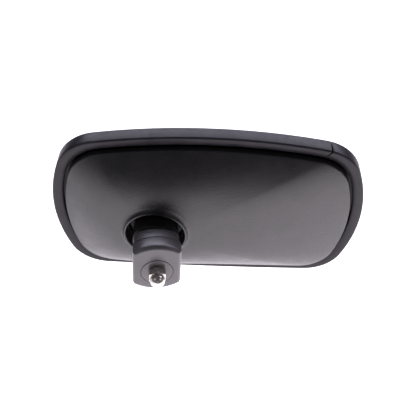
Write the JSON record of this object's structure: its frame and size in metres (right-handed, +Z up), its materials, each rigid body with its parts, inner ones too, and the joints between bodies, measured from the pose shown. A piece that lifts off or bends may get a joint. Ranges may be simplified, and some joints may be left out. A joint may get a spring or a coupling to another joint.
{
  "type": "interior rearview mirror",
  "caption": "Convex interior mirror head with rubber rim and textured rear shell, swivelling on a friction dome held by a bolted arm clamp.",
  "frame": {"origin": "middle of the clamp's arm bore, on the seam between the two jaws", "axes": "+X along the arm bore, towards the side of the head where the swivel sits; +Y along the clamp bolt, from the head towards the cap nut; +Z up"},
  "size_m": [0.2497, 0.1073, 0.1525],
  "materials": {
    "mirror_glass": "first-surface bright",
    "safety_film": "matt film",
    "foam": "closed-cell foam",
    "carrier_plastic": "moulded",
    "rim_rubber": "matt extruded rubber",
    "shell_plastic": "fine spark-eroded grain",
    "dome_plastic": "gloss",
    "liner_nylon": "smooth nylon",
    "clamp_plastic": "satin moulded",
    "zinc_steel": "zinc plated",
    "spring_steel": "phosphated",
    "stainless": "polished"
  },
  "bodies": {
    "clamp": {"inner_clamp_jaw": "clamp_plastic", "clamp_bolt": "zinc_steel", "pressure_cup": "zinc_steel", "disc_spring_1": "spring_steel", "disc_spring_2": "spring_steel"},
    "jaw": {"outer_clamp_jaw": "clamp_plastic", "jaw_washer": "zinc_steel", "nut_disc": "clamp_plastic"},
    "nut": {"cap_nut": "stainless"},
    "seat_ring": {"seat_liner": "liner_nylon"},
    "cup_ring": {"cup_liner": "liner_nylon"},
    "head": {"mirror_glass": "mirror_glass", "safety_film": "safety_film", "foam_pad": "foam", "carrier_plate": "carrier_plastic", "rubber_rim": "rim_rubber", "rear_shell": "shell_plastic", "swivel_dome": "dome_plastic", "shell_screw_1": "zinc_steel", "shell_screw_2": "zinc_steel", "shell_screw_3": "zinc_steel", "shell_screw_4": "zinc_steel", "dome_screw_1": "zinc_steel", "dome_screw_2": "zinc_steel", "dome_screw_3": "zinc_steel", "dome_screw_4": "zinc_steel"}
  },
  "joints": [
    {"name": "jaw_travel", "type": "slide", "parent": "clamp", "child": "jaw", "axis": [0, 1, 0], "range_m": [0, 0.0025]},
    {"name": "nut_turn", "type": "hinge", "parent": "jaw", "child": "nut", "pos_m": [0, 0, -0.0135], "axis": [0, 1, 0], "range_deg": [0, 720]},
    {"name": "head_roll", "type": "hinge", "parent": "clamp", "child": "seat_ring", "pos_m": [0, -0.0244, -0.0135], "axis": [0, 1, 0], "continuous": true},
    {"name": "head_pitch", "type": "hinge", "parent": "seat_ring", "child": "cup_ring", "pos_m": [0, -0.0244, -0.0135], "axis": [1, 0, 0], "range_deg": [-7, 19]},
    {"name": "head_yaw", "type": "hinge", "parent": "cup_ring", "child": "head", "pos_m": [0, -0.0244, -0.0135], "axis": [0, 0, 1], "range_deg": [-5.3, 20.7]}
  ],
  "couplings": [
    {"joint": "nut_turn", "follows": "jaw_travel", "rad_per_m": 5026.5}
  ]
}
